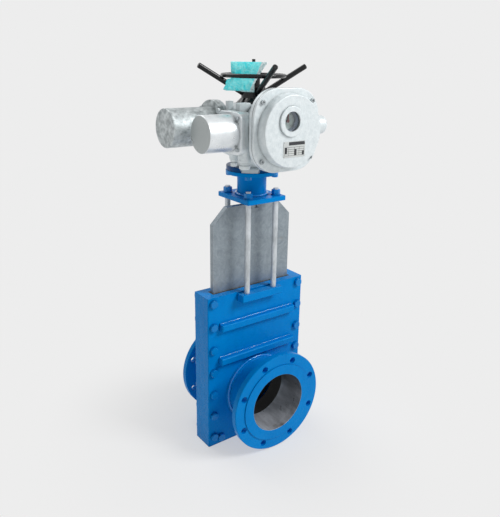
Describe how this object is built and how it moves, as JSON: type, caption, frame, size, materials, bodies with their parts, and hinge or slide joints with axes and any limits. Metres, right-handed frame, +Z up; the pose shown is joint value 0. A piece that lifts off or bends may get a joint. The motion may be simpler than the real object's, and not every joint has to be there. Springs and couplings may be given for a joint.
{
  "type": "knife gate valve",
  "caption": "Motor-driven knife gate valve: flanged pipe body, raised sliding gate, tie-rod yoke, electric actuator with position window and handwheel.",
  "frame": {"origin": "centre of the flow bore, midway between the flange faces", "axes": "+X across the body, +Y along the flow away from the control cover, +Z up along the stem"},
  "size_m": [0.496, 0.3685, 1.248],
  "materials": {
    "blue_paint": "gloss",
    "silver_paint": "satin",
    "rough_silver": "rough cast, painted",
    "smooth_silver": "satin metallic",
    "black_paint": "gloss",
    "gate_steel": "ground",
    "bright_steel": "zinc plated",
    "stem_steel": "machined",
    "screw_steel": "zinc plated",
    "bronze": "machined",
    "stator_iron": "laminated",
    "guide_plastic": "moulded",
    "packing": "braided",
    "seat_rubber": "moulded",
    "gasket_rubber": "sheet",
    "clear_glass": "clear",
    "dial_cream": "printed",
    "pointer_red": "moulded",
    "switch_plastic": "moulded",
    "plate_metal": "blank plate",
    "pouch_film": "soft film"
  },
  "bodies": {
    "valve": {"front_body_plate": "blue_paint", "rear_body_plate": "blue_paint", "side_bars": "blue_paint", "bottom_bar": "blue_paint", "gate_guides": "guide_plastic", "gate_packing": "packing", "seat_sleeves": "seat_rubber", "pipe_necks": "blue_paint", "front_flange": "blue_paint", "rear_flange": "blue_paint", "stiffener_bars": "blue_paint", "body_bolts": "blue_paint", "body_nuts": "blue_paint", "rod_brackets": "blue_paint", "tie_rods": "bright_steel", "tie_rod_nuts": "blue_paint", "yoke_plate": "blue_paint", "pedestal_tube": "blue_paint", "pedestal_flange": "blue_paint", "pedestal_bolts": "blue_paint", "sleeve_bearing": "stem_steel", "shaft_bearings": "stem_steel", "torque_springs": "stem_steel", "actuator_base_flange": "blue_paint", "gear_housing": "silver_paint", "torque_spring_cap": "silver_paint", "motor_shell": "rough_silver", "motor_stator": "stator_iron", "motor_bolts": "silver_paint", "control_gasket": "gasket_rubber", "control_cover": "silver_paint", "control_cover_bolts": "screw_steel", "window_bezel": "silver_paint", "window_glass": "clear_glass", "position_dial": "dial_cream", "switch_unit": "switch_plastic", "rating_plate": "plate_metal", "terminal_cover": "smooth_silver", "terminal_screws": "screw_steel", "terminal_board": "switch_plastic", "cable_glands": "silver_paint", "handwheel_bush": "bronze"},
    "gate": {"gate": "gate_steel", "stem": "stem_steel"},
    "drive_sleeve": {"drive_sleeve": "stem_steel", "stem_nut": "bronze"},
    "worm_wheel": {"worm_wheel": "bronze"},
    "clutch": {"clutch_ring": "stem_steel"},
    "worm_shaft": {"worm_shaft": "stem_steel", "worm_shaft_gear": "stem_steel"},
    "idler": {"idler_gear": "stem_steel"},
    "rotor": {"motor_rotor": "stator_iron", "motor_pinion": "stem_steel"},
    "lever": {"switch_lever": "black_paint", "lever_shaft": "stem_steel"},
    "pointer": {"position_pointer": "pointer_red"},
    "handwheel": {"handwheel_hub": "black_paint", "handwheel_rim": "black_paint", "stem_cover": "black_paint", "document_pouch": "pouch_film"}
  },
  "joints": [
    {"name": "handwheel_spin", "type": "hinge", "parent": "valve", "child": "handwheel", "pos_m": [0, 0, 0.96], "axis": [0, 0, 1], "range_deg": [0, 16200]},
    {"name": "sleeve_spin", "type": "hinge", "parent": "valve", "child": "drive_sleeve", "pos_m": [0, 0, 0.85], "axis": [0, 0, 1], "range_deg": [0, 16200]},
    {"name": "gate_lift", "type": "slide", "parent": "valve", "child": "gate", "axis": [0, 0, 1], "range_m": [-0.225, 0]},
    {"name": "pointer_turn", "type": "hinge", "parent": "valve", "child": "pointer", "pos_m": [-0.01, -0.16, 0.914], "axis": [0, -1, 0], "range_deg": [-270, 0]},
    {"name": "worm_spin", "type": "hinge", "parent": "valve", "child": "worm_shaft", "pos_m": [0, -0.06, 0.881], "axis": [1, 0, 0], "continuous": true},
    {"name": "wheel_spin", "type": "hinge", "parent": "valve", "child": "worm_wheel", "pos_m": [0, 0, 0.881], "axis": [0, 0, 1], "continuous": true},
    {"name": "idler_spin", "type": "hinge", "parent": "valve", "child": "idler", "pos_m": [-0.07, 0.009, 0.88155], "axis": [1, 0, 0], "continuous": true},
    {"name": "rotor_spin", "type": "hinge", "parent": "valve", "child": "rotor", "pos_m": [-0.19, 0.066, 0.882], "axis": [1, 0, 0], "continuous": true},
    {"name": "lever_turn", "type": "hinge", "parent": "valve", "child": "lever", "pos_m": [0, 0.1, 0.9061], "axis": [0, -1, 0], "range_deg": [0, 60]},
    {"name": "clutch_slide", "type": "slide", "parent": "drive_sleeve", "child": "clutch", "axis": [0, 0, 1], "range_m": [0, 0.008]}
  ],
  "couplings": [
    {"joint": "gate_lift", "follows": "handwheel_spin", "m_per_rad": -0.00079577},
    {"joint": "sleeve_spin", "follows": "handwheel_spin", "ratio": 1},
    {"joint": "pointer_turn", "follows": "handwheel_spin", "ratio": -0.016667},
    {"joint": "wheel_spin", "follows": "worm_spin", "ratio": -0.033333},
    {"joint": "idler_spin", "follows": "worm_spin", "ratio": -0.76923},
    {"joint": "rotor_spin", "follows": "worm_spin", "ratio": 1.6667},
    {"joint": "clutch_slide", "follows": "lever_turn", "m_per_rad": 0.0076394}
  ]
}
